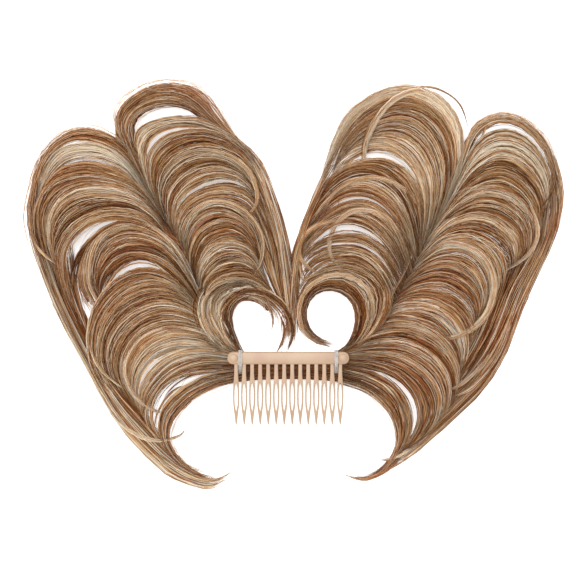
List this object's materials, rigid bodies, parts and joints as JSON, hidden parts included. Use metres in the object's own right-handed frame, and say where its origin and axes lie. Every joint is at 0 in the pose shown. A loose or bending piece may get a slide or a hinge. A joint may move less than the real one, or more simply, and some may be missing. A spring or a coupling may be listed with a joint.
{
  "type": "messy bun hairpiece with side comb",
  "caption": "Two-winged spray of C-curled hair locks on a short weft, bound by clear ties to a toothed side comb.",
  "frame": {"origin": "centre of the footprint, on the surface that the piece lies on", "axes": "+X along the comb's bar, to the right as seen from above; +Y from the comb's teeth up along the wings; +Z away from the surface"},
  "size_m": [0.2684, 0.1974, 0.0215],
  "materials": {
    "comb_plastic": "satin moulded plastic in beige",
    "clear_elastic": "clear elastic",
    "weft_hair": "gathered dark brown hair",
    "curled_hair": "auburn and blond synthetic hair"
  },
  "bodies": {
    "root": {"comb": "comb_plastic", "tie_left": "clear_elastic", "tie_right": "clear_elastic", "weft_base": "weft_hair", "left_wing_locks": "curled_hair", "right_wing_locks": "curled_hair"}
  },
  "joints": []
}
